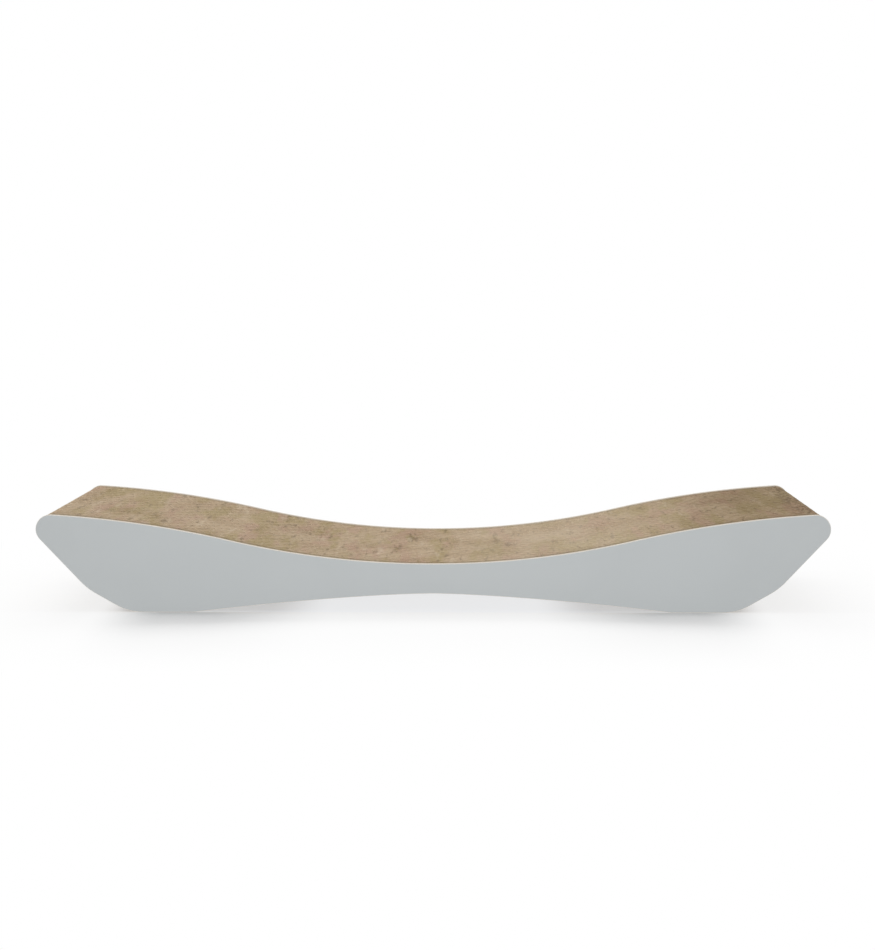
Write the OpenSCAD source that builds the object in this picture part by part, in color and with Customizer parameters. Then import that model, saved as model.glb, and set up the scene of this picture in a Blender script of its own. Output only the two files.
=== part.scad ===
// Corrugated cardboard cat scratcher: a bow-shaped lounger laminated from upright
// fluted boards between two solid side panels with a printed paper facing.
// X runs along its length, Y across the boards, Z up from the floor.

/* [Outline] */
// Length over the two rounded tips
body_l = 700; // [640:5:780]
// Height of the tips above the floor
end_h = 87; // [78:0.5:100]
// Height of the scratching face at the bottom of its dip
dip_h = 43.5; // [36:0.5:52]
// Height of the arch under the middle
arch_h = 17; // [8:0.5:22]
// Radius of the rounded tips
tip_r = 13; // [9:0.5:16]
// Slope at which the scratching face runs into a tip, in degrees
crest_tilt = 3.5; // [0:0.5:4]
// Slope of the raking end under a tip, in degrees
end_rake = 47; // [40:1:52]
// Slope of the heel between the raking end and the foot, in degrees
heel_rake = 30; // [22:1:34]
// Height above the floor at which the raking end turns into the heel
heel_h = 21; // [14:0.5:26]
// Radius of the turn from the raking end into the heel
heel_r = 55; // [10:1:60]
// Length of a foot, from the corner under the heel to the arch
foot_l = 58; // [45:1:75]
// Radius of the corner between heel and foot
foot_r = 48; // [10:1:50]

/* [Core boards] */
// Number of fluted boards glued face to face
core_boards = 30; // [12:1:36]
// Thickness of one board
board_t = 7.25; // [6:0.05:8]
// Thickness of each of a board's two flat liners
liner_t = 0.4; // [0.3:0.05:0.6]
// Length of one full wave of the fluted layer
flute_pitch = 14; // [11:0.1:16]
// Thickness of the fluted layer's paper where it lies on a liner
medium_t = 0.25; // [0.2:0.05:0.4]
// Width over which each crest lies on its liner
crest_w = 0.6; // [0.4:0.1:1.2]
// Thickness of the glue film between glued faces
glue_t = 0.1; // [0.05:0.05:0.2]

/* [Side panels] */
// Thickness of a solid board side panel
panel_t = 4; // [3:0.1:6]
// Thickness of the printed paper facing
facing_t = 0.4; // [0.3:0.05:0.6]
// How far a side panel stands past the core boards all round
panel_proud = 0.5; // [0.3:0.1:1.5]
// Bare edge of a side panel all round its facing
facing_margin = 0.4; // [0.2:0.1:1]

/* [Hidden] */
// Share of the two face arcs' summed radius that the dip's arc takes
dip_radius_share = 0.45;
// Power of the arch's curve: 1 is two straight lines, 2 a parabola
arch_power = 1.5;
// Share of a wave by which each board's flutes are shifted against its neighbour's
phase_share = 0.382;
// Steps along each stretch of half a core board's outline
face_steps = 5;
tip_steps = 5;
turn_steps = 2;
arch_steps = 5;
// How many times as many steps a side panel's outline has
panel_fineness = 3;
// Overrun of the cuts that go right through
cut_past = 1;

core_w = core_boards * board_t + (core_boards - 1) * glue_t;
panel_y = core_w / 2 + glue_t;
facing_y = panel_y + panel_t + glue_t;

function two_digits(i) = str(i < 10 ? "0" : "", i);
function board_name(i) = str("core_board_", two_digits(i));

// Unit vector at an angle
function unit(angle) = [cos(angle), sin(angle)];

// Points along a circular arc from angle a0 to a1, without the first point
function arc(centre, r, a0, a1, steps) =
    [for (i = [1 : steps]) centre + r * unit(a0 + (a1 - a0) * i / steps)];

// Vector from a corner to the outline one unit further out, n1 and n2 being the two sides' normals
function mitre(n1, n2) = (n1 + n2) / (1 + n1 * n2);

// Points round a convex corner, from angle a0 to a1 of its two sides' normals
function corner(point, r, a0, a1, steps) =
    let (centre = point - r * mitre(unit(a0), unit(a1)))
        concat([centre + r * unit(a0)], arc(centre, r, a0, a1, steps));

// Right half of the outline in X and Z, clockwise from the bottom of the dip to the top of the arch.
// The scratching face is a hollow arc and a crowned one that meet in line, turned by face_turn there.
tip = [body_l / 2 - tip_r, end_h - tip_r];
face_end = tip + tip_r * unit(90 + crest_tilt);
face_run = face_end[0];
face_rise = face_end[1] - dip_h;
crown_share = 1 - dip_radius_share;
crown_sine = crown_share * sin(crest_tilt);
crown_cosine = dip_radius_share + crown_share * cos(crest_tilt);
face_turn = atan2(face_rise, face_run)
    + acos((face_run * crown_cosine + face_rise * crown_sine) / norm([face_run, face_rise]));
face_radii = face_run / (sin(face_turn) - crown_sine);
dip_r = dip_radius_share * face_radii;
crown_r = crown_share * face_radii;
crown = face_end - crown_r * unit(90 + crest_tilt);
tip_end = tip + tip_r * unit(end_rake - 90);
heel = [tip_end[0] - (tip_end[1] - heel_h) / tan(end_rake), heel_h];
foot_outer_x = heel[0] - heel_h / tan(heel_rake);
foot_inner_x = foot_outer_x - foot_l;

function half_outline(fineness) = concat(
    [[0, dip_h]],
    arc([0, dip_h + dip_r], dip_r, -90, face_turn - 90, face_steps * fineness),
    arc(crown, crown_r, 90 + face_turn, 90 + crest_tilt, face_steps * fineness),
    arc(tip, tip_r, 90 + crest_tilt, end_rake - 90, tip_steps * fineness),
    corner(heel, heel_r, end_rake - 90, heel_rake - 90, turn_steps * fineness),
    corner([foot_outer_x, 0], foot_r, heel_rake - 90, -90, turn_steps * fineness),
    [for (i = [arch_steps * fineness : -1 : 0]) let (share = i / arch_steps / fineness)
        [foot_inner_x * share, arch_h * (1 - pow(share, arch_power))]]);

// The whole outline: the right half, and its mirror image taken backwards
function outline(fineness) = let (half = half_outline(fineness))
    concat(half, [for (i = [len(half) - 2 : -1 : 1]) [-half[i][0], half[i][1]]]);

// Outward normal of the side from a to b of a clockwise outline
function side_normal(a, b) = [a[1] - b[1], b[0] - a[0]] / norm(b - a);

// The outline moved inwards by a distance at every side
function inset(points, distance) = let (n = len(points))
    [for (i = [0 : n - 1]) let (
            normal_in = side_normal(points[(i + n - 1) % n], points[i]),
            normal_out = side_normal(points[i], points[(i + 1) % n]))
        points[i] - distance * mitre(normal_in, normal_out)];

// An upright sheet of an outline, its front face at y
module sheet(points, y, t) {
    translate([0, y + t, 0])
        rotate([90, 0, 0])
            linear_extrude(t)
                polygon(points);
}

// The open channels on both sides of one board's fluted layer, in plan
module channels(phase) {
    half_base = (flute_pitch - crest_w) / 2;
    waves = ceil(body_l / 2 / flute_pitch);
    for (i = [-waves : waves]) {
        front_x = (i + phase) * flute_pitch;
        back_x = front_x + flute_pitch / 2;
        polygon([
            [front_x - half_base, liner_t],
            [front_x + half_base, liner_t],
            [front_x, board_t - liner_t - medium_t]]);
        polygon([
            [back_x - half_base, board_t - liner_t],
            [back_x + half_base, board_t - liner_t],
            [back_x, liner_t + medium_t]]);
    }
}

// One die-cut fluted board: two liners and the waved paper between them
module core_board(i) {
    y = -core_w / 2 + (i - 1) * (board_t + glue_t);
    phase = i * phase_share - floor(i * phase_share);
    color("tan")
        difference() {
            sheet(inset(outline(1), panel_proud), y, board_t);
            translate([0, y, -cut_past])
                linear_extrude(end_h + 2 * cut_past)
                    channels(phase);
        }
}

module side_panel(y) {
    color("antiquewhite")
        sheet(outline(panel_fineness), y, panel_t);
}

module side_facing(y) {
    color("silver")
        sheet(inset(outline(panel_fineness), facing_margin), y, facing_t);
}

module front_facing() {
    side_facing(-facing_y - facing_t);
}

module front_panel() {
    side_panel(-panel_y - panel_t);
}

module back_panel() {
    side_panel(panel_y);
}

module back_facing() {
    side_facing(facing_y);
}

front_facing();
front_panel();
for (i = [1 : core_boards])
    core_board(i);
back_panel();
back_facing();
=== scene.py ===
"""Cardboard cat scratcher: fluted boards laminated side by side between two faced side panels.

Every shape is worked out with numpy as a function of two parameters: a place along the piece
and a place round its section. Sizes are in metres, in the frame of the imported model.
"""
import math

import bpy
import numpy as np
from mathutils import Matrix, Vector


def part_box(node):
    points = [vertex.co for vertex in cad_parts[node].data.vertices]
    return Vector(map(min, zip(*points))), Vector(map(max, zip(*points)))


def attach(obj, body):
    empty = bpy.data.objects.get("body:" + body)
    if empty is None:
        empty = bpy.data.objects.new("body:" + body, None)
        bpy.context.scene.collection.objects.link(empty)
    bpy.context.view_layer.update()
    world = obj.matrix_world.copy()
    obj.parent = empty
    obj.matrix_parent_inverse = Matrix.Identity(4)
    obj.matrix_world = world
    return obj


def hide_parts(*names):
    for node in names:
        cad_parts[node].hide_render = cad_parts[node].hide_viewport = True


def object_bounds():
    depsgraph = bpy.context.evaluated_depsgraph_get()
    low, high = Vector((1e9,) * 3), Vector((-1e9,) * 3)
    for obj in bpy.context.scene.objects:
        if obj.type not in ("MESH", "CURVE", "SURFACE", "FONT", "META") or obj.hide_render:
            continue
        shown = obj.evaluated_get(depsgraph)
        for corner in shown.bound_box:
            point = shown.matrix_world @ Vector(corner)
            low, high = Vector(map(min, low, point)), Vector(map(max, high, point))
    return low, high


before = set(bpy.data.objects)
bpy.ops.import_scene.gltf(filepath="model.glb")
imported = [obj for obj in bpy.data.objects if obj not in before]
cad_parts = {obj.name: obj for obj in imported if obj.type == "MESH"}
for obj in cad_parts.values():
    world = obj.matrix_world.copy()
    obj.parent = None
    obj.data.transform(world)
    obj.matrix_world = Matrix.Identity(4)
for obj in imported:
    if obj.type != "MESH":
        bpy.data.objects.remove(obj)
CAD_LOW, CAD_HIGH = [list(corner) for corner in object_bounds()]

bl_info = {
    "name": "Cardboard cat scratcher",
    "version": (1, 0, 0),
    "blender": (4, 5, 0),
    "location": "3D View > Sidebar > Scratcher",
    "description": "Builds a bow-shaped scratcher of laminated fluted boards, and its studio",
    "category": "Object",
}

MM = 0.001
CORE_NODES = sorted(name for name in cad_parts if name.startswith("core_board_"))
SIDES = {"front": -1, "back": 1}

# Step between a liner's columns of points, and number of columns in one wave of the medium
LINER_COLUMN, FLUTE_COLUMNS = 2.5 * MM, 14
# Stretch at a tip in which the outline's own points are added, the medium taking every third
TIP_STRETCH, MEDIUM_TIP_SKIP = 14 * MM, 3
# Digits to which the columns' places along X are rounded, so that near ones merge
LINER_DIGITS, MEDIUM_DIGITS = 5, 4
# Steps round a sheet's rounded edge, and how many times fewer steps a corner has than a curve
EDGE_STEPS, CORNER_FEWER = 4, 4
# Angle between two faces above which their edge is sharp
SHARP_ABOVE = math.radians(40)
WHITE, BLACK = (1.0, 1.0, 1.0), (0.0, 0.0, 0.0)

# Random fields over the face: number of sines, shortest and longest wavelength
FACE_SEED = 2026
WEAR_WAVES = (9, 14 * MM, 90 * MM)
LEAN_WAVES = (7, 20 * MM, 120 * MM)
DRIFT_WAVES = (6, 60 * MM, 300 * MM)
# What a field is divided by, so that it mostly stays within -1 and 1
WAVE_PEAK = 1.5
# How much slower the fields change across the boards than along them
FIELD_ACROSS = 0.4
# Powers by which leaning dies away towards the panels and wear towards the tips
LEAN_POWER, WEAR_POWER = 6, 8
# Tones that a liner and a medium may have, from 0, the liners' colour, to 1, the mediums'
LINER_KIND, MEDIUM_KIND = (0, 0.2), (0.75, 1)
# Largest shares of a board's height that a rim takes, and of the rim that is worn away
RIM_SHARE, WORN_SHARE = 1 / 3, 0.9

# Grain: the clouds' scale against the fine noise's, the shares of both in the height, and the
# fine noise at which fibres start and are full
CLOUD_SCALE, GRAIN_SHARE, CLOUD_SHARE, FIBRES_SEEN = 0.22, 0.7, 0.3, (0.5, 0.72)
# Each paper: grain scale, stretch along X, bump, its depth, roughness range, specular level
PAPERS = {
    "kraft_paper": (900.0, 1.0, 0.35, 0.15 * MM, (0.8, 0.95), 0.2),
    "panel_board": (1100.0, 0.4, 0.4, 0.2 * MM, (0.75, 0.9), 0.25),
    "grey_facing": (1700.0, 0.6, 0.15, 0.1 * MM, (0.5, 0.62), 0.35),
}
# Spots in the kraft: colour, strength, scale, stretch across, seed, noise at none and at full
KRAFT_SPOTS = (
    ("olive", 1.0, 44.0, 0.22, 1.0, 0.44, 0.6),
    ("rose", 0.9, 55.0, 0.22, 5.0, 0.5, 0.64),
    ("stain", 0.6, 150.0, 0.2, 9.0, 0.57, 0.67),
    ("worn", 0.5, 110.0, 0.15, 13.0, 0.58, 0.68),
)
# Specks of painted shade at the right tip: strength, scale, stretch across, seed, noise at none
# and at full
TIP_SHADE_SPECKS = (0.8, 300.0, 0.3, 3.0, 0.48, 0.58)
FACING_CLOUDS = (0.35, 14.0, 1.0, 2.0, 0.35, 0.7)
# Shade of the facing's print in its clouds and fibres, and the fibres' strength
PRINT_SHADE, PRINT_FIBRES = 0.93, 0.3

# Ramps: where they start and end, and for those that don't run from 0 to 1 their two values
# Painted light: the first two give a paler patch right of the middle
PAINTED_LIGHT_IN, PAINTED_LIGHT_OUT = (0.0, 80 * MM), (240 * MM, 150 * MM, 0.0, 0.3)
# Painted shade: specks at the right tip
SHADED_TIP = (320 * MM, 336 * MM)
# Painted shade: darker towards the right end
SHADED_END = (190 * MM, 300 * MM)
FRAYED_RIM, FRAYED_FIBRES = (0.6, 1.0), (0.0, 1.0, 0.2, 0.5)
# Painted shade on the boards next to the front and the back panel
SHADE_NEAR_FRONT = (-94 * MM, -103 * MM, 0.0, 0.5)
SHADE_NEAR_BACK = (100 * MM, 108 * MM, 0.0, 0.12)
PLY_LINES = (0.4, 0.65, 0.0, 0.9)
# The first picks the inner ply's own darker tone; the second adds painted shade to it, most on the
# front panel
LINED_INSIDE, FRONT_PANEL_SHADE = (0.45, 0.75), (50 * MM, -50 * MM, 0.4, 1.0)
CUT_EDGE = (0.8, 1.0)
# How far the torn grain ruffles a panel's plies, and the scale of the noise that draws them
PLY_TORN, PLY_WAVES = 0.12, 9.0

# The floor: half the rectangle that the feet stand on, and ramps from the middle or the spine
FEET_X, FEET_Y = 300 * MM, 115 * MM
BESIDE_ARCH = (80 * MM, 200 * MM, 0.27, 1.0)
BESIDE_ENDS = (300 * MM, 235 * MM, 0.15, 1.0)
BESIDE_FEET = (165 * MM, 205 * MM)
ARCH_ENDS, ARCH_MIDDLE = (230 * MM, 205 * MM, 0.0, 0.65), (150 * MM, 90 * MM, 0.0, 0.35)
RAKING_ENDS = (240 * MM, 300 * MM)
BETWEEN_SIDES, COOLER_ARCH = (115 * MM, 112 * MM), (270 * MM, 200 * MM)
# Shares of the shadow that fade over the whole reach and over a part of it, and that part
LONG_FADE, SHORT_FADE, SHORT_REACH = 0.8, 0.2, 1 / 4
# Ramps over the distance from the part: light thrown back, and painted shadow at the feet
THROWN_LIGHT = (140 * MM, 0.0, 0.0, 0.5)
CONTACT_SHADOW = (20 * MM, 0.0, 0.0, 0.16)
FLOOR_HALF = 8.0
# Height of the camera's sensor in millimetres
SENSOR_HEIGHT = 36.0
# Lamps: place, width and height, and the setting that holds the power
LAMP_TARGET = (0, 0, 0.05)
LAMPS = {
    "back": ((-0.25, 1.5, 1.55), (1.6, 1.0), "back_power"),
    "left": ((-0.4, -2.25, 0.38), (1.2, 0.5), "front_power"),
    "right": ((0.4, -2.25, 0.38), (1.2, 0.5), "front_power"),
}


def tone(red, green, blue):
    """The linear colour of an 8-bit one."""
    share = np.array([red, green, blue]) / 255
    return tuple(np.where(share > 0.04045, ((share + 0.055) / 1.055) ** 2.4, share / 12.92))


def length(name, description, default, **more):
    """A length in metres as a property."""
    return bpy.props.FloatProperty(name=name, description=description, default=default,
                                   min=0.0, unit="LENGTH", precision=5, **more)


def turn(name, description, degrees):
    """An angle as a property."""
    return bpy.props.FloatProperty(name=name, description=description,
                                   default=math.radians(degrees), subtype="ANGLE")


def share(name, description, default, most=1.0):
    """A share, or another plain factor, as a property."""
    return bpy.props.FloatProperty(name=name, description=description, default=default,
                                   min=0.0, max=most)


def colour(name, description, red, green, blue):
    """A colour as a property, given in 8 bits."""
    return bpy.props.FloatVectorProperty(name=name, description=description, subtype="COLOR",
                                         size=3, min=0.0, max=1.0,
                                         default=tone(red, green, blue))


class ScratcherOutline(bpy.types.PropertyGroup):
    """The bow outline that the panels and boards are cut to."""
    body_length: length("Length", "Over the two rounded tips", CAD_HIGH[0] - CAD_LOW[0])
    end_height: length("Tip height", "Top of the tips above the floor", CAD_HIGH[2])
    dip_height: length("Dip height", "Scratching face at the bottom of its dip", 43.5 * MM)
    arch_height: length("Arch height", "Arch under the middle", 17 * MM)
    tip_radius: length("Tip radius", "Rounded tips", 13 * MM)
    crest_tilt: turn("Crest tilt", "Slope at which the face runs into a tip", 3.5)
    end_rake: turn("End rake", "Slope of the end under a tip", 47)
    heel_rake: turn("Heel rake", "Slope between the raking end and the foot", 30)
    heel_height: length("Heel height", "Where the raking end turns into the heel", 21 * MM)
    heel_radius: length("Heel radius", "Turn from the raking end into the heel", 55 * MM)
    foot_length: length("Foot length", "From the heel's corner to the arch", 58 * MM)
    foot_radius: length("Foot radius", "Corner between heel and foot", 48 * MM)
    dip_share: share("Dip share", "Share of the face arcs' radii that the dip takes", 0.45)
    arch_power: share("Arch power", "Power of the arch's curve", 1.5, 3.0)
    steps: bpy.props.IntProperty(name="Steps", description="Steps along each curved stretch",
                                 default=32, min=4)


class ScratcherCore(bpy.types.PropertyGroup):
    """The fluted boards between the panels."""
    panel_proud: length("Set back", "How far the boards stay inside the panels' edge", 0.5 * MM)
    liner: length("Liner", "Thickness of a flat liner", 0.4 * MM)
    medium: length("Medium", "Thickness of the waved paper", 0.3 * MM)
    flute_pitch: length("Flute pitch", "Length of one wave", 14 * MM)
    phase_share: share("Phase step", "Share of a wave between one board and the next", 0.382)
    rim_depth: length("Rim depth", "Depth to which a cut edge is frayed and bent", 2.0 * MM)
    rim_flare: length("Rim flare", "How far a cut edge is crushed wider", 0.15 * MM)
    rim_fray: length("Rim fray", "Roughness of a cut edge's height", 0.2 * MM)
    rim_lean: length("Rim lean", "How far a cut edge leans over", 0.6 * MM)
    board_step: length("Board step", "How far one board's edge may lie under the next", 0.2 * MM)
    face_wear: length("Face wear", "How deep the scratching face is worn in places", 0.4 * MM)
    flute_drift: length("Flute drift", "How far a flute may stray along its board", 0.6 * MM)


class ScratcherSides(bpy.types.PropertyGroup):
    """The side panels and their printed facing."""
    panel_edge: length("Panel edge", "Rounding of a panel's die-cut edge", 0.5 * MM)
    facing_margin: length("Margin", "Bare edge of a panel round its facing", 0.4 * MM)
    facing_edge: length("Facing edge", "Rounding of the facing's cut edge", 0.12 * MM)


class ScratcherColours(bpy.types.PropertyGroup):
    """Colours of papers, boards and floor."""
    liner: colour("Liner", "Kraft of the flat liners", 214, 194, 167)
    medium: colour("Medium", "Kraft of the waved paper", 206, 186, 158)
    rim: colour("Cut rim", "Frayed fibres on a cut edge", 220, 202, 178)
    olive: colour("Olive blotch", "Duller, greener blotches in the kraft", 197, 179, 141)
    rose: colour("Rose blotch", "Redder blotches in the kraft", 208, 181, 159)
    # Real darker specks, and also the colour of painted shade at the right tip and next to the
    # side panels
    stain: colour("Stain", "Darker specks in the kraft", 142, 122, 98)
    # Painted shade, multiplied into the kraft towards its right end
    shade: colour("Shade", "Tint of the kraft at its darker end", 215, 208, 194)
    # Paler blotches, and also the colour of painted light in a paler patch right of the middle
    worn: colour("Worn", "Kraft where the face is rubbed paler", 232, 218, 196)
    panel: colour("Panel", "Outer plies of a side panel's cut edge", 240, 235, 227)
    ply: colour("Ply", "Darker lines between the plies", 208, 200, 187)
    # The inner ply's own tone, deepened by painted shade, most on the front panel
    lining: colour("Lining", "Inner ply and inner face of a side panel", 184, 173, 153)
    facing: colour("Facing", "Printed grey of the side facing", 181, 185, 186)
    paper: colour("Paper", "Cut edge of the facing", 222, 222, 219)
    floor: colour("Floor", "Floor of the studio", 248, 248, 248)
    under: colour("Under the arch", "Cooler white of the floor under the arch", 251, 252, 254)
    shadow: colour("Shadow", "Cooler grey of the floor's shadow under the arch", 236, 242, 248)


class ScratcherStage(bpy.types.PropertyGroup):
    """Camera and light."""
    camera_place: bpy.props.FloatVectorProperty(
        name="Camera", description="Place of the camera", subtype="TRANSLATION",
        default=(0.03802, -1.71555, 0.29906))
    camera_pitch: turn("Pitch", "How far the camera looks down", 6.2964)
    camera_yaw: turn("Yaw", "How far the camera looks left", 1.1557)
    camera_roll: turn("Roll", "How far the camera leans right", 0.128)
    lens: bpy.props.FloatProperty(name="Lens", description="Focal length", default=69.66,
                                  unit="CAMERA")
    sky: share("Sky", "Strength of the even light from all round", 0.6, 4.0)
    back_power: bpy.props.FloatProperty(name="Back", description="Power of the high lamp behind",
                                        default=25.0, unit="POWER")
    front_power: bpy.props.FloatProperty(name="Front", description="Power of each low front lamp",
                                         default=7.6, unit="POWER")
    floor_glow: share("Floor glow", "Share of white in the shadow right under the part", 0.8)
    shadow_reach: length("Shadow reach", "Distance at which the floor is plain white", 0.25)


# Shapes

def unit(angles):
    """Unit vectors at angles in radians."""
    angles = np.asarray(angles)
    return np.stack([np.cos(angles), np.sin(angles)], axis=-1)


def arc(centre, radius, start, stop, steps):
    """Points on a circle about centre from one angle to another, without the first."""
    return centre + radius * unit(np.linspace(start, stop, steps + 1)[1:])


def mitre(normal_in, normal_out):
    """From a corner to the outline a unit further out: the normals' sum over 1 plus their dot."""
    dot = np.sum(normal_in * normal_out, axis=-1, keepdims=True)
    return (normal_in + normal_out) / (1 + dot)


def corner(point, radius, start, stop, steps):
    """An arc round a convex corner, between the angles of its two sides' normals."""
    centre = point - radius * mitre(unit(start), unit(stop))
    return np.vstack([centre + radius * unit(start), arc(centre, radius, start, stop, steps)])


def bow_outline(size):
    """The closed outline in X and Z, clockwise from the bottom of the dip.

    The right half of the face is a hollow arc and a crowned one that meet in line, and then come
    the tip's arc, the raking end, the rounded heel, the foot, and the arch, whose height falls
    as a power of the distance from the middle. The left half is its mirror image.
    """
    right, steps, few = math.pi / 2, size.steps, size.steps // CORNER_FEWER
    tip = np.array([size.body_length / 2 - size.tip_radius, size.end_height - size.tip_radius])
    face_end = tip + size.tip_radius * unit(right + size.crest_tilt)
    run, rise = face_end - [0, size.dip_height]
    crown_share = 1 - size.dip_share
    sine = crown_share * math.sin(size.crest_tilt)
    cosine = size.dip_share + crown_share * math.cos(size.crest_tilt)
    bend = math.atan2(rise, run) + math.acos((run * cosine + rise * sine) / math.hypot(run, rise))
    radii = run / (math.sin(bend) - sine)
    dip_r, crown_r = size.dip_share * radii, crown_share * radii
    crown = face_end - crown_r * unit(right + size.crest_tilt)
    tip_end = tip + size.tip_radius * unit(size.end_rake - right)
    heel_x = tip_end[0] - (tip_end[1] - size.heel_height) / math.tan(size.end_rake)
    foot_outer = heel_x - size.heel_height / math.tan(size.heel_rake)
    foot_inner = foot_outer - size.foot_length
    along = np.linspace(1, 0, steps + 1)
    half = np.vstack([
        [[0, size.dip_height]],
        arc([0, size.dip_height + dip_r], dip_r, -right, bend - right, steps),
        arc(crown, crown_r, right + bend, right + size.crest_tilt, steps),
        arc(tip, size.tip_radius, right + size.crest_tilt, size.end_rake - right, steps),
        corner(np.array([heel_x, size.heel_height]), size.heel_radius,
               size.end_rake - right, size.heel_rake - right, few),
        corner(np.array([foot_outer, 0.0]), size.foot_radius,
               size.heel_rake - right, -right, few),
        np.stack([foot_inner * along, size.arch_height * (1 - along ** size.arch_power)], axis=-1),
    ])
    return np.vstack([half, half[-2:0:-1] * [-1, 1]])


def inset(points, distance):
    """A closed clockwise outline moved inwards along its sides' normals."""
    side = np.roll(points, -1, axis=0) - points
    normal = np.stack([-side[:, 1], side[:, 0]], axis=-1)
    normal /= np.linalg.norm(normal, axis=-1, keepdims=True)
    return points - distance * mitre(np.roll(normal, 1, axis=0), normal)


def cut_heights(points):
    """An outline's upper and lower height as a function of x, and how far it reaches along X."""
    half = points[:len(points) // 2 + 1]
    far = int(np.argmax(half[:, 0]))
    upper, lower = half[:far + 1], half[far:][::-1]

    def heights(x):
        """Upper and lower height at x."""
        return (np.interp(np.abs(x), upper[:, 0], upper[:, 1]),
                np.interp(np.abs(x), lower[:, 0], lower[:, 1]))

    return heights, half[far, 0]


def waves(rng, terms, shortest, longest):
    """A smooth random function of x and y, mostly within -1 and 1.

    It is a sum of sines that run in random directions, over the square root of their number
    and over a usual peak.
    """
    wavelength = np.exp(rng.uniform(math.log(shortest), math.log(longest), terms))
    heading = rng.uniform(0, math.pi, terms)
    phase = rng.uniform(0, 2 * math.pi, terms)

    def field(x, y):
        """The field's value at arrays of places."""
        across = x[..., None] * np.cos(heading) + y[..., None] * np.sin(heading)
        total = np.sin(2 * math.pi * across / wavelength + phase).sum(axis=-1)
        return total / terms ** 0.5 / WAVE_PEAK

    return field


def ring_faces(columns, around):
    """Quads of a closed section carried along columns, then the two end caps."""
    column, place = np.meshgrid(np.arange(columns - 1), np.arange(around), indexing="ij")
    after = (place + 1) % around
    quads = np.stack([column * around + place, (column + 1) * around + place,
                      (column + 1) * around + after, column * around + after], axis=-1)
    first = np.arange(around)
    last = (columns - 1) * around + first[::-1]
    return quads.reshape(-1, 4), [first, last]


def new_piece(name, points, faces, caps, values, material):
    """A mesh object at the origin from vertex and face arrays, with named vertex values.

    The caps are flat, and everything else is smooth, with sharp edges between steep faces.
    """
    mesh = bpy.data.meshes.new(name)
    mesh.from_pydata(points, [], [*faces.tolist(), *(cap.tolist() for cap in caps)])
    mesh.polygons.foreach_set("use_smooth", np.arange(len(mesh.polygons)) < len(faces))
    for key, value in values.items():
        mesh.attributes.new(key, "FLOAT", "POINT").data.foreach_set("value", value.astype("f"))
    mesh.set_sharp_from_angle(angle=SHARP_ABOVE)
    mesh.materials.append(material)
    piece = bpy.data.objects.new(name, mesh)
    bpy.context.scene.collection.objects.link(piece)
    return piece


def fit_in_frame(piece, slot, *nodes):
    """The piece rides on the root body in place of the CAD nodes that it stands for, which are
    hidden.
    """
    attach(piece, "root")
    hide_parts(*nodes)


def paper_wall(front, back, heights, size, face, flares, rng):
    """An upright sheet of paper between two lines in plan, front and back, of x and y.

    Its section at each column is a ring of eight points, up the front and down the back, with
    the outer two of each side at the cut edges and the inner two a rim's depth inside. Face
    gives how far the upper cut edge lies under the outline there, and how far it leans, and
    flares are the shares by which that edge is crushed wider to the front and to the back.
    """
    fray, crush = rng.uniform(0, 1, (2, len(front)))
    ring = []
    for line, rows, flare in ((front, (0, 1, 2, 3), -flares[0]), (back, (3, 2, 1, 0), flares[1])):
        x, y = line.T
        top, bottom = heights(x)
        depth = np.minimum(size.rim_depth, (top - bottom) * RIM_SHARE)
        sag, lean = face(x, y)
        sag = np.minimum(sag + size.rim_fray * fray, WORN_SHARE * depth)
        level = (bottom, bottom + depth, top - depth, top - sag)
        push = (0, 0, 0, lean + flare * size.rim_flare * crush)
        ring += [np.stack([x, y + push[row], level[row]], axis=-1) for row in rows]
    rim = np.tile([1.0, 0.0, 0.0, 1.0, 1.0, 0.0, 0.0, 1.0], len(front))
    return np.stack(ring, axis=1).reshape(-1, 3), rim


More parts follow.
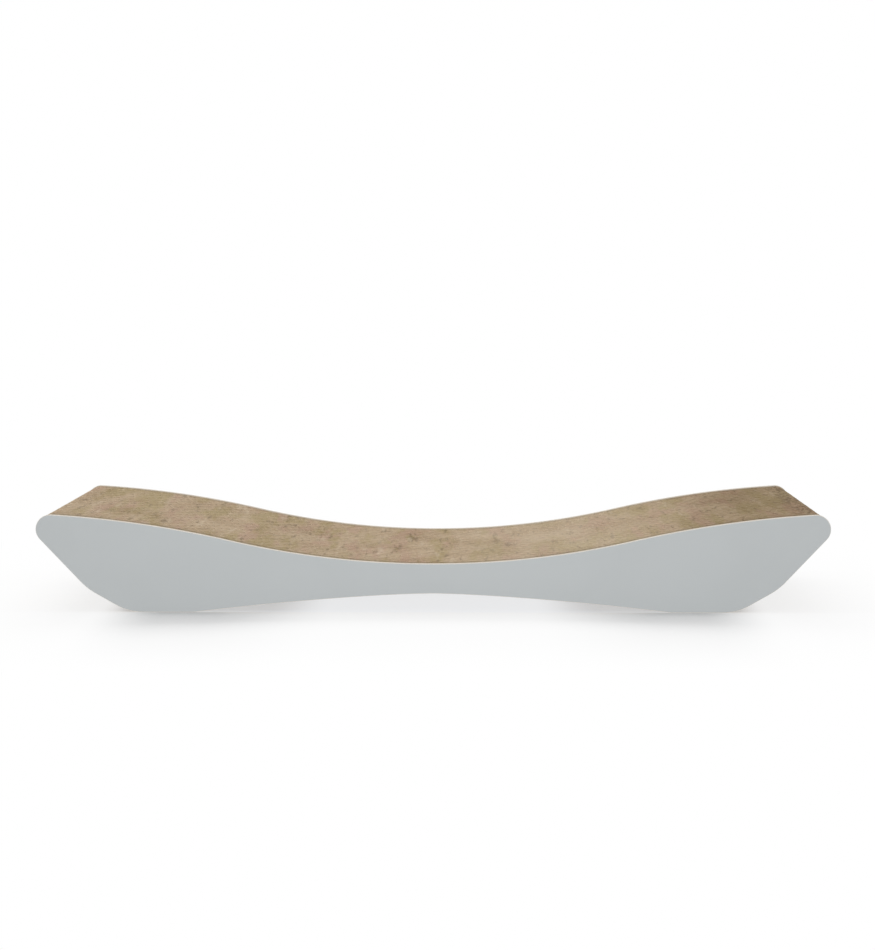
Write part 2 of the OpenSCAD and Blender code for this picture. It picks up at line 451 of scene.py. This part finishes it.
def fluted_board(node, number, points, size, face, drift):
    """Two flat liners and a sine-waved medium between them, cut to the outline.

    The medium's middle line is a cosine of x with the flute pitch, shifted along x by a slowly
    changing drift, and its faces lie half its thickness from it along the normal.
    """
    rng = np.random.default_rng(number)
    heights, reach = cut_heights(points)
    (_, front_y, _), (_, back_y, _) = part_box(node)
    tips = points[np.abs(points[:, 0]) > reach - TIP_STRETCH, 0]
    step = size.board_step * rng.uniform(0, 1)

    def board_face(x, y):
        """The face's wear and lean, with this board's own step under its neighbours."""
        sag, lean = face(x, y)
        return step + sag, lean

    flat = np.concatenate([np.arange(-reach, reach, LINER_COLUMN), tips])
    flat = np.clip(np.unique(np.round(flat, LINER_DIGITS)), -reach, reach)
    strips = []
    for outer, inner, flares in ((front_y, front_y + size.liner, (0, 1)),
                                 (back_y - size.liner, back_y, (1, 0))):
        strips.append((np.stack([flat, flat * 0 + outer], axis=-1),
                       np.stack([flat, flat * 0 + inner], axis=-1), flares,
                       rng.uniform(*LINER_KIND)))
    reach -= size.medium / 2
    tips = tips[::MEDIUM_TIP_SKIP] * reach / np.abs(tips).max()
    x = np.concatenate([np.arange(-reach, reach, size.flute_pitch / FLUTE_COLUMNS), tips, [reach]])
    x = np.clip(np.unique(np.round(x, MEDIUM_DIGITS)), -reach, reach)
    swing = (back_y - front_y) / 2 - size.liner - size.medium / 2
    middle_y = (front_y + back_y) / 2
    strayed = x + size.flute_drift * drift(x, x * 0 + middle_y)
    angle = 2 * math.pi * (strayed / size.flute_pitch - number * size.phase_share)
    middle = np.stack([x, middle_y + swing * np.cos(angle)], axis=-1)
    slope = np.gradient(middle[:, 1], x)
    normal = np.stack([-slope, np.ones_like(slope)], axis=-1) / np.hypot(slope, 1)[:, None]
    half = normal * size.medium / 2
    strips.append((middle - half, middle + half, (0.5, 0.5), rng.uniform(*MEDIUM_KIND)))

    vertices, faces, caps, rims, kinds, start = [], [], [], [], [], 0
    for front, back, flares, kind in strips:
        wall, rim = paper_wall(front, back, heights, size, board_face, flares, rng)
        quads, ends = ring_faces(len(front), len(wall) // len(front))
        vertices.append(wall)
        faces.append(quads + start)
        caps += [cap + start for cap in ends]
        rims.append(rim)
        kinds.append(np.full(len(rim), kind))
        start += len(wall)
    return (np.vstack(vertices), np.vstack(faces), caps,
            {"rim": np.concatenate(rims), "kind": np.concatenate(kinds)})


def edged_sheet(points, front_y, back_y, outward, rounding):
    """A flat sheet of an outline, with both edges of its rim rounded.

    The rim's section is a quarter circle, the straight cut and a quarter circle, and it is
    carried round the outline by moving the outline in by each section point's depth. Its values
    are rim, 1 on the cut edge, and inner, from 0 on the face towards outward to 1 on the other.
    """
    angles = np.linspace(0, math.pi / 2, EDGE_STEPS + 1)
    depth = rounding * (1 - np.sin(angles))
    along = rounding * (1 - np.cos(angles))
    depths = np.concatenate([depth, depth[::-1]])
    places = np.concatenate([front_y + along, back_y - along[::-1]])
    rings = [inset(points, d) for d in depths]
    vertices = np.stack([np.stack([ring[:, 0], ring[:, 0] * 0 + y, ring[:, 1]], axis=-1)
                         for ring, y in zip(rings, places)], axis=1)
    count, around = vertices.shape[:2]
    column, place = np.meshgrid(np.arange(count), np.arange(around - 1), indexing="ij")
    after = (column + 1) % count
    quads = np.stack([column * around + place, after * around + place,
                      after * around + place + 1, column * around + place + 1], axis=-1)
    back = np.arange(count) * around + around - 1
    front = back[::-1] - around + 1
    rim = np.tile(np.where(np.arange(around) % (around - 1) == 0, 0.0, 1.0), count)
    share_back = np.tile((places - front_y) / (back_y - front_y), count)
    inner = share_back if outward < 0 else 1 - share_back
    return (vertices.reshape(-1, 3), quads.reshape(-1, 4), [front, back],
            {"rim": rim, "inner": inner})


# Materials

def socket(group, name, kind, direction="INPUT", default=None):
    """A named socket on a node group."""
    made = group.interface.new_socket(name=name, in_out=direction, socket_type=kind)
    if default is not None:
        made.default_value = default


class Nodes:
    """Adds shader nodes to a tree and joins them."""

    def __init__(self, tree):
        self.tree = tree

    def add(self, kind, settings=None, **inputs):
        """A node with its settings, and its inputs set or linked by name."""
        node = self.tree.nodes.new(kind)
        for key, value in (settings or {}).items():
            setattr(node, key, value)
        for key, value in inputs.items():
            self.feed(node, key.replace("_", " "), value)
        return node

    def feed(self, node, key, value):
        """Links a socket to an input, or sets the input."""
        target = node.inputs[int(key)] if key.isdigit() else node.inputs[key]
        if isinstance(value, bpy.types.NodeSocket):
            self.tree.links.new(value, target)
        else:
            target.default_value = value

    def math(self, operation, *values):
        """A Math node's result."""
        node = self.tree.nodes.new("ShaderNodeMath")
        node.operation = operation
        for index, value in enumerate(values):
            self.feed(node, str(index), value)
        return node.outputs[0]

    def mix(self, factor, first, second, blend="MIX"):
        """Two colours mixed or multiplied."""
        node = self.tree.nodes.new("ShaderNodeMix")
        node.data_type, node.blend_type = "RGBA", blend
        self.feed(node, "0", factor)
        for index, value in ((6, first), (7, second)):
            plain = not isinstance(value, bpy.types.NodeSocket)
            self.feed(node, str(index), (*value, 1.0) if plain else value)
        return node.outputs[2]

    def ramp(self, value, low, high, low_to=0.0, high_to=1.0):
        """A value carried from one range to another, smoothly and within it."""
        node = self.add("ShaderNodeMapRange", {"interpolation_type": "SMOOTHSTEP"}, Value=value)
        for key, number in zip(("From Min", "From Max", "To Min", "To Max"),
                               (low, high, low_to, high_to)):
            node.inputs[key].default_value = number
        return node.outputs[0]


def paper_fibre_group():
    """Paper grain: a height for bump and a mask of lighter fibres."""
    group = bpy.data.node_groups.new("paper_fibre", "ShaderNodeTree")
    socket(group, "Vector", "NodeSocketVector")
    socket(group, "Scale", "NodeSocketFloat", default=900.0)
    socket(group, "Along", "NodeSocketFloat", default=0.3)
    socket(group, "Height", "NodeSocketFloat", "OUTPUT")
    socket(group, "Fibres", "NodeSocketFloat", "OUTPUT")
    nodes = Nodes(group)
    entry, result = nodes.add("NodeGroupInput"), nodes.add("NodeGroupOutput")
    stretch = nodes.add("ShaderNodeCombineXYZ", X=entry.outputs["Along"], Y=1.0, Z=1.0)
    long_way = nodes.add("ShaderNodeVectorMath", {"operation": "MULTIPLY"})
    nodes.feed(long_way, "0", entry.outputs["Vector"])
    nodes.feed(long_way, "1", stretch.outputs[0])
    grain = nodes.add("ShaderNodeTexNoise", Vector=long_way.outputs[0],
                      Scale=entry.outputs["Scale"], Detail=5.0, Roughness=0.65)
    cloud = nodes.add("ShaderNodeTexNoise", Vector=entry.outputs["Vector"],
                      Scale=nodes.math("MULTIPLY", entry.outputs["Scale"], CLOUD_SCALE),
                      Detail=3.0, Roughness=0.5)
    height = nodes.math("ADD", nodes.math("MULTIPLY", grain.outputs["Fac"], GRAIN_SHARE),
                        nodes.math("MULTIPLY", cloud.outputs["Fac"], CLOUD_SHARE))
    nodes.feed(result, "Height", height)
    nodes.feed(result, "Fibres", nodes.ramp(grain.outputs["Fac"], *FIBRES_SEEN))
    return group


def blotch_group():
    """Soft blotches, drawn out along Y, as a mask."""
    group = bpy.data.node_groups.new("kraft_blotch", "ShaderNodeTree")
    socket(group, "Vector", "NodeSocketVector")
    socket(group, "Scale", "NodeSocketFloat", default=40.0)
    socket(group, "Across", "NodeSocketFloat", default=0.4)
    socket(group, "Seed", "NodeSocketFloat")
    socket(group, "Low", "NodeSocketFloat", default=0.4)
    socket(group, "High", "NodeSocketFloat", default=0.65)
    socket(group, "Mask", "NodeSocketFloat", "OUTPUT")
    nodes = Nodes(group)
    entry, result = nodes.add("NodeGroupInput"), nodes.add("NodeGroupOutput")
    stretch = nodes.add("ShaderNodeCombineXYZ", X=1.0, Y=entry.outputs["Across"], Z=1.0)
    place = nodes.add("ShaderNodeVectorMath", {"operation": "MULTIPLY"})
    nodes.feed(place, "0", entry.outputs["Vector"])
    nodes.feed(place, "1", stretch.outputs[0])
    noise = nodes.add("ShaderNodeTexNoise", {"noise_dimensions": "4D"}, Vector=place.outputs[0],
                      W=entry.outputs["Seed"], Scale=entry.outputs["Scale"], Detail=4.0,
                      Roughness=0.55)
    spread = nodes.add("ShaderNodeMapRange", {"interpolation_type": "SMOOTHSTEP"},
                       Value=noise.outputs["Fac"])
    nodes.feed(spread, "From Min", entry.outputs["Low"])
    nodes.feed(spread, "From Max", entry.outputs["High"])
    nodes.feed(result, "Mask", spread.outputs[0])
    return group


def group_of(name, build):
    """The node group of that name, built on first use."""
    return bpy.data.node_groups.get(name) or build()


def new_material(name):
    """A material with an empty tree, a Principled shader on its output, and object coordinates."""
    material = bpy.data.materials.new(name)
    material.use_nodes = True
    material.node_tree.nodes.clear()
    nodes = Nodes(material.node_tree)
    shader = nodes.add("ShaderNodeBsdfPrincipled")
    output = nodes.add("ShaderNodeOutputMaterial")
    nodes.feed(output, "Surface", shader.outputs[0])
    place = nodes.add("ShaderNodeTexCoord").outputs["Object"]
    return material, nodes, shader, place


def fibres(nodes, place, scale, along):
    """The paper grain's height and fibre mask at a scale of its own."""
    group = nodes.add("ShaderNodeGroup", {"node_tree": group_of("paper_fibre", paper_fibre_group)},
                      Vector=place, Scale=scale, Along=along)
    return group.outputs["Height"], group.outputs["Fibres"]


def blotches(nodes, place, strength, scale, across, seed, low, high):
    """The blotch mask times a strength, at a scale and with limits of its own."""
    group = nodes.add("ShaderNodeGroup", {"node_tree": group_of("kraft_blotch", blotch_group)},
                      Vector=place, Scale=scale, Across=across, Seed=seed, Low=low, High=high)
    return nodes.math("MULTIPLY", group.outputs["Mask"], strength)


def attribute(nodes, name):
    """A vertex value of the piece."""
    return nodes.add("ShaderNodeAttribute", {"attribute_name": name}).outputs["Fac"]


def paper_material(name):
    """A paper with its grain's bump, roughness and gloss, and still without a colour."""
    scale, along, strength, depth, roughness, specular = PAPERS[name]
    material, nodes, shader, place = new_material(name)
    height, fibre = fibres(nodes, place, scale, along)
    nodes.feed(shader, "Roughness", nodes.ramp(fibre, 0.0, 1.0, *roughness))
    shader.inputs["Specular IOR Level"].default_value = specular
    bump = nodes.add("ShaderNodeBump", Strength=strength, Distance=depth, Height=height)
    nodes.feed(shader, "Normal", bump.outputs[0])
    return material, nodes, shader, place, height, fibre


def seen_ray(nodes):
    """1 on rays that show the background: from the camera, off gloss or through glass."""
    path = nodes.add("ShaderNodeLightPath").outputs
    bent = nodes.math("MAXIMUM", path["Is Glossy Ray"], path["Is Transmission Ray"])
    return nodes.math("MAXIMUM", path["Is Camera Ray"], bent)


def kraft_material(colours):
    """Kraft paper: liner and medium tones, two hues of blotch, specks, and frayed cut rims.

    It has painted light in a paler patch right of the middle, painted shade towards the right
    end and in specks at the tip there, and painted shade on the boards next to the side panels.
    """
    material, nodes, shader, place, _, fibre = paper_material("kraft_paper")
    parts = nodes.add("ShaderNodeSeparateXYZ", Vector=place)
    along, across = parts.outputs["X"], parts.outputs["Y"]
    paper = nodes.mix(attribute(nodes, "kind"), colours.liner, colours.medium)
    for name, *spots in KRAFT_SPOTS:
        paper = nodes.mix(blotches(nodes, place, *spots), paper, getattr(colours, name))
    # Painted light: a paler patch right of the middle
    lit = nodes.math("MULTIPLY", nodes.ramp(along, *PAINTED_LIGHT_IN), nodes.ramp(along, *PAINTED_LIGHT_OUT))
    paper = nodes.mix(lit, paper, colours.worn)
    # Painted shade: specks at the right tip
    specks = blotches(nodes, place, *TIP_SHADE_SPECKS)
    specks = nodes.math("MULTIPLY", nodes.ramp(along, *SHADED_TIP), specks)
    paper = nodes.mix(specks, paper, colours.stain)
    # Painted shade: the kraft darkens towards the right end
    paper = nodes.mix(nodes.ramp(along, *SHADED_END), paper, colours.shade, "MULTIPLY")
    frayed = nodes.math("MULTIPLY", nodes.ramp(attribute(nodes, "rim"), *FRAYED_RIM),
                        nodes.ramp(fibre, *FRAYED_FIBRES))
    paper = nodes.mix(frayed, paper, colours.rim)
    # Painted shade on the boards next to the side panels
    panel_shade = nodes.math("ADD", nodes.ramp(across, *SHADE_NEAR_FRONT), nodes.ramp(across, *SHADE_NEAR_BACK))
    nodes.feed(shader, "Base Color", nodes.mix(panel_shade, paper, colours.stain))
    return material


def panel_material(colours):
    """Solid board: pale outer plies, darker lines between plies, and a darker inner face.

    The plies follow the value inner, ruffled by the torn grain, and the inner face is a darker
    ply whose tone is deepened by painted shade, most on the front panel.
    """
    material, nodes, shader, place, height, _ = paper_material("panel_board")
    wavy = nodes.math("ADD", attribute(nodes, "inner"), nodes.math("MULTIPLY", height, PLY_TORN))
    plies = nodes.add("ShaderNodeTexNoise", {"noise_dimensions": "1D"},
                      W=nodes.math("MULTIPLY", wavy, PLY_WAVES), Scale=1.0, Detail=1.0)
    lines = nodes.ramp(plies.outputs["Fac"], *PLY_LINES)
    edge = nodes.mix(lines, colours.panel, colours.ply)
    across = nodes.add("ShaderNodeSeparateXYZ", Vector=place).outputs["Y"]
    # Painted shade: the inner ply darkens, most on the front panel
    inner_ply_and_shade = nodes.math("MULTIPLY", nodes.ramp(wavy, *LINED_INSIDE),
                       nodes.ramp(across, *FRONT_PANEL_SHADE))
    nodes.feed(shader, "Base Color", nodes.mix(inner_ply_and_shade, edge, colours.lining))
    return material


def facing_material(colours):
    """Printed grey paper with a pale cut edge, faint clouds and a fine grain."""
    material, nodes, shader, place, _, fibre = paper_material("grey_facing")
    darker = tuple(PRINT_SHADE * part for part in colours.facing)
    uneven = nodes.math("MAXIMUM", blotches(nodes, place, *FACING_CLOUDS),
                        nodes.math("MULTIPLY", fibre, PRINT_FIBRES))
    tone_printed = nodes.mix(uneven, colours.facing, darker)
    edge = nodes.ramp(attribute(nodes, "rim"), *CUT_EDGE)
    nodes.feed(shader, "Base Color", nodes.mix(edge, tone_printed, colours.paper))
    return material


def floor_material(colours, glow, reach):
    """A white floor that keeps the part's soft shadow near it and is plain white further out.

    The share of the shadow that is kept falls with the distance from the rectangle that the
    feet stand on. In front of the part and behind it, less is kept by the arch and the ends,
    and a painted shadow darkens the floor right at the feet. Between the sides, the glow's share
    is taken off under the raking ends and the arch, where the floor is cooler. Rays that don't
    show the background find a share of white near the part, as light thrown back by the studio
    floor.
    """
    material, nodes, shader, place = new_material("studio_floor")
    nodes.tree.nodes.remove(shader)
    matte = nodes.add("ShaderNodeBsdfDiffuse")
    white = nodes.add("ShaderNodeEmission", Strength=1.0)
    parts = nodes.add("ShaderNodeSeparateXYZ", Vector=place)
    from_middle = nodes.math("ABSOLUTE", parts.outputs["X"])
    from_spine = nodes.math("ABSOLUTE", parts.outputs["Y"])
    past_end = nodes.math("MAXIMUM", nodes.math("SUBTRACT", from_middle, FEET_X), 0.0)
    past_side = nodes.math("MAXIMUM", nodes.math("SUBTRACT", from_spine, FEET_Y), 0.0)
    away = nodes.math("SQRT", nodes.math("ADD", nodes.math("POWER", past_end, 2.0),
                                         nodes.math("POWER", past_side, 2.0)))

    beside = nodes.math("MULTIPLY", nodes.ramp(from_middle, *BESIDE_ARCH),
                        nodes.ramp(from_middle, *BESIDE_ENDS))
    arched = nodes.math("ADD", nodes.ramp(from_middle, *ARCH_ENDS),
                        nodes.ramp(from_middle, *ARCH_MIDDLE))
    open_place = nodes.math("ADD", arched, nodes.ramp(from_middle, *RAKING_ENDS))
    under = nodes.math("SUBTRACT", 1.0, nodes.math("MULTIPLY", open_place, glow))
    between = nodes.ramp(from_spine, *BETWEEN_SIDES)
    beside = nodes.math("MULTIPLY", beside, nodes.math("SUBTRACT", 1.0, between))
    kept = nodes.math("ADD", nodes.math("MULTIPLY", under, between), beside)
    fading = nodes.math("ADD", nodes.ramp(away, reach, 0.0, 0.0, LONG_FADE),
                        nodes.ramp(away, reach * SHORT_REACH, 0.0, 0.0, SHORT_FADE))
    plain = nodes.math("SUBTRACT", 1.0, nodes.math("MULTIPLY", kept, fading))

    cooler = nodes.math("MULTIPLY", between, nodes.ramp(from_middle, *COOLER_ARCH))
    nodes.feed(white, "Color", nodes.mix(cooler, WHITE, colours.under))
    shaded = nodes.mix(cooler, colours.floor, colours.shadow)
    # Painted shadow on the floor right at the feet
    contact_shadow = nodes.math("MULTIPLY", nodes.math("MULTIPLY", beside, nodes.ramp(away, *CONTACT_SHADOW)),
                         nodes.ramp(from_middle, *BESIDE_FEET))
    nodes.feed(matte, "Color", nodes.mix(contact_shadow, shaded, BLACK))

    ray = seen_ray(nodes)
    thrown = nodes.math("MULTIPLY", nodes.ramp(away, *THROWN_LIGHT),
                        nodes.math("SUBTRACT", 1.0, ray))
    blend = nodes.add("ShaderNodeMixShader", Fac=nodes.math("MULTIPLY_ADD", plain, ray, thrown))
    nodes.feed(blend, "1", matte.outputs[0])
    nodes.feed(blend, "2", white.outputs[0])
    output = next(node for node in nodes.tree.nodes if node.type == "OUTPUT_MATERIAL")
    nodes.feed(output, "Surface", blend.outputs[0])
    return material


def studio_world(sky):
    """Even light from all round, seen as plain white."""
    world = bpy.data.worlds.new("studio")
    world.use_nodes = True
    world.node_tree.nodes.clear()
    nodes = Nodes(world.node_tree)
    light = nodes.add("ShaderNodeBackground", Color=(*WHITE, 1.0), Strength=sky)
    seen = nodes.add("ShaderNodeBackground", Color=(*WHITE, 1.0), Strength=1.0)
    blend = nodes.add("ShaderNodeMixShader", Fac=seen_ray(nodes))
    nodes.feed(blend, "1", light.outputs[0])
    nodes.feed(blend, "2", seen.outputs[0])
    output = nodes.add("ShaderNodeOutputWorld")
    nodes.feed(output, "Surface", blend.outputs[0])
    return world


# Operators

class SCRATCHER_OT_core(bpy.types.Operator):
    """Build the fluted boards of the core."""
    bl_idname = "scratcher.core"
    bl_label = "Core boards"

    def execute(self, context):
        scene = context.scene
        size = scene.scratcher_core
        points = inset(bow_outline(scene.scratcher_outline), size.panel_proud)
        material = kraft_material(scene.scratcher_colours)
        rng = np.random.default_rng(FACE_SEED)
        wear_field, lean_field, drift = [waves(rng, *kind)
                                         for kind in (WEAR_WAVES, LEAN_WAVES, DRIFT_WAVES)]
        half_length, half_width, _ = -np.array(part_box(CORE_NODES[0])[0])

        def face(x, y):
            """How far the face lies under the cut outline, and how far its edges lean."""
            room = 1 - (np.abs(y) / half_width) ** LEAN_POWER
            used = 1 - (np.abs(x) / half_length) ** WEAR_POWER
            wear = np.clip(wear_field(x, FIELD_ACROSS * y), -1, 1)
            lean = np.clip(lean_field(x, FIELD_ACROSS * y), -1, 1)
            return size.face_wear * used * (1 + wear) / 2, size.rim_lean * room * lean

        for number, node in enumerate(CORE_NODES, 1):
            mesh = fluted_board(node, number, points, size, face, drift)
            piece = new_piece(f"fluted_board_{number:02d}", *mesh, material)
            fit_in_frame(piece, "core", node)
        return {"FINISHED"}


class SCRATCHER_OT_panels(bpy.types.Operator):
    """Build the solid side panels."""
    bl_idname = "scratcher.panels"
    bl_label = "Side panels"

    def execute(self, context):
        scene = context.scene
        points = bow_outline(scene.scratcher_outline)
        material = panel_material(scene.scratcher_colours)
        for side, outward in SIDES.items():
            node = f"{side}_panel"
            (_, front_y, _), (_, back_y, _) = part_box(node)
            mesh = edged_sheet(points, front_y, back_y, outward, scene.scratcher_sides.panel_edge)
            fit_in_frame(new_piece(f"{side}_side_board", *mesh, material), "panel", node)
        return {"FINISHED"}


class SCRATCHER_OT_facings(bpy.types.Operator):
    """Build the printed facings on the side panels."""
    bl_idname = "scratcher.facings"
    bl_label = "Facings"

    def execute(self, context):
        scene = context.scene
        size = scene.scratcher_sides
        points = inset(bow_outline(scene.scratcher_outline), size.facing_margin)
        material = facing_material(scene.scratcher_colours)
        for side, outward in SIDES.items():
            node = f"{side}_facing"
            (_, front_y, _), (_, back_y, _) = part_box(node)
            mesh = edged_sheet(points, front_y, back_y, outward, size.facing_edge)
            fit_in_frame(new_piece(f"{side}_printed_paper", *mesh, material), "facing", node)
        return {"FINISHED"}


def add_lamp(name, place, size, power):
    """An area lamp that faces the part."""
    data = bpy.data.lights.new(name, "AREA")
    data.shape, data.size, data.size_y, data.energy = "RECTANGLE", size[0], size[1], power
    lamp = bpy.data.objects.new(name, data)
    bpy.context.scene.collection.objects.link(lamp)
    lamp.location = place
    way = Vector(place) - Vector(LAMP_TARGET)
    lamp.rotation_euler = way.to_track_quat("Z", "Y").to_euler()


class SCRATCHER_OT_stage(bpy.types.Operator):
    """Set up the floor, the light and the camera."""
    bl_idname = "scratcher.stage"
    bl_label = "Studio"

    def execute(self, context):
        scene = context.scene
        size = scene.scratcher_stage
        scene.view_settings.view_transform = "Standard"
        mesh = bpy.data.meshes.new("floor")
        mesh.from_pydata([(-FLOOR_HALF, -FLOOR_HALF, 0), (FLOOR_HALF, -FLOOR_HALF, 0),
                          (FLOOR_HALF, FLOOR_HALF, 0), (-FLOOR_HALF, FLOOR_HALF, 0)],
                         [], [(0, 1, 2, 3)])
        mesh.materials.append(floor_material(scene.scratcher_colours, size.floor_glow,
                                             size.shadow_reach))
        floor = bpy.data.objects.new("floor", mesh)
        scene.collection.objects.link(floor)

        scene.world = studio_world(size.sky)
        for name, (place, extent, power) in LAMPS.items():
            add_lamp(name, place, extent, getattr(size, power))

        data = bpy.data.cameras.new("camera")
        data.sensor_fit, data.sensor_height, data.lens = "VERTICAL", SENSOR_HEIGHT, size.lens
        camera = bpy.data.objects.new("camera", data)
        scene.collection.objects.link(camera)
        camera.location = size.camera_place
        camera.rotation_euler = (math.pi / 2 - size.camera_pitch, size.camera_roll,
                                 size.camera_yaw)
        scene.camera = camera
        return {"FINISHED"}


class SCRATCHER_PT_sidebar(bpy.types.Panel):
    """Sizes, colours and the steps that build the scratcher."""
    bl_label = "Scratcher"
    bl_idname = "SCRATCHER_PT_sidebar"
    bl_space_type = "VIEW_3D"
    bl_region_type = "UI"
    bl_category = "Scratcher"

    def draw(self, context):
        for key, label in SETTINGS.items():
            box = self.layout.box()
            box.label(text=label[0])
            group = getattr(context.scene, key)
            for name in group.__annotations__:
                box.prop(group, name)
        for step in BUILD_STEPS:
            self.layout.operator(step)


SETTINGS = {
    "scratcher_outline": ("Outline", ScratcherOutline),
    "scratcher_core": ("Core", ScratcherCore),
    "scratcher_sides": ("Sides", ScratcherSides),
    "scratcher_colours": ("Colours", ScratcherColours),
    "scratcher_stage": ("Studio", ScratcherStage),
}
OPERATORS = (SCRATCHER_OT_stage, SCRATCHER_OT_core, SCRATCHER_OT_panels, SCRATCHER_OT_facings)
BUILD_STEPS = [step.bl_idname for step in OPERATORS]


def register():
    """Registers the classes and hangs the settings on the scene."""
    for key, (_, group) in SETTINGS.items():
        bpy.utils.register_class(group)
        setattr(bpy.types.Scene, key, bpy.props.PointerProperty(type=group))
    for step in OPERATORS:
        bpy.utils.register_class(step)
    bpy.utils.register_class(SCRATCHER_PT_sidebar)


def unregister():
    """Takes them off again."""
    bpy.utils.unregister_class(SCRATCHER_PT_sidebar)
    for step in reversed(OPERATORS):
        bpy.utils.unregister_class(step)
    for key, (_, group) in reversed(SETTINGS.items()):
        delattr(bpy.types.Scene, key)
        bpy.utils.unregister_class(group)


def main():
    """Builds everything in order."""
    register()
    for step in BUILD_STEPS:
        group, name = step.split(".")
        getattr(getattr(bpy.ops, group), name)()


if __name__ == "__main__":
    main()
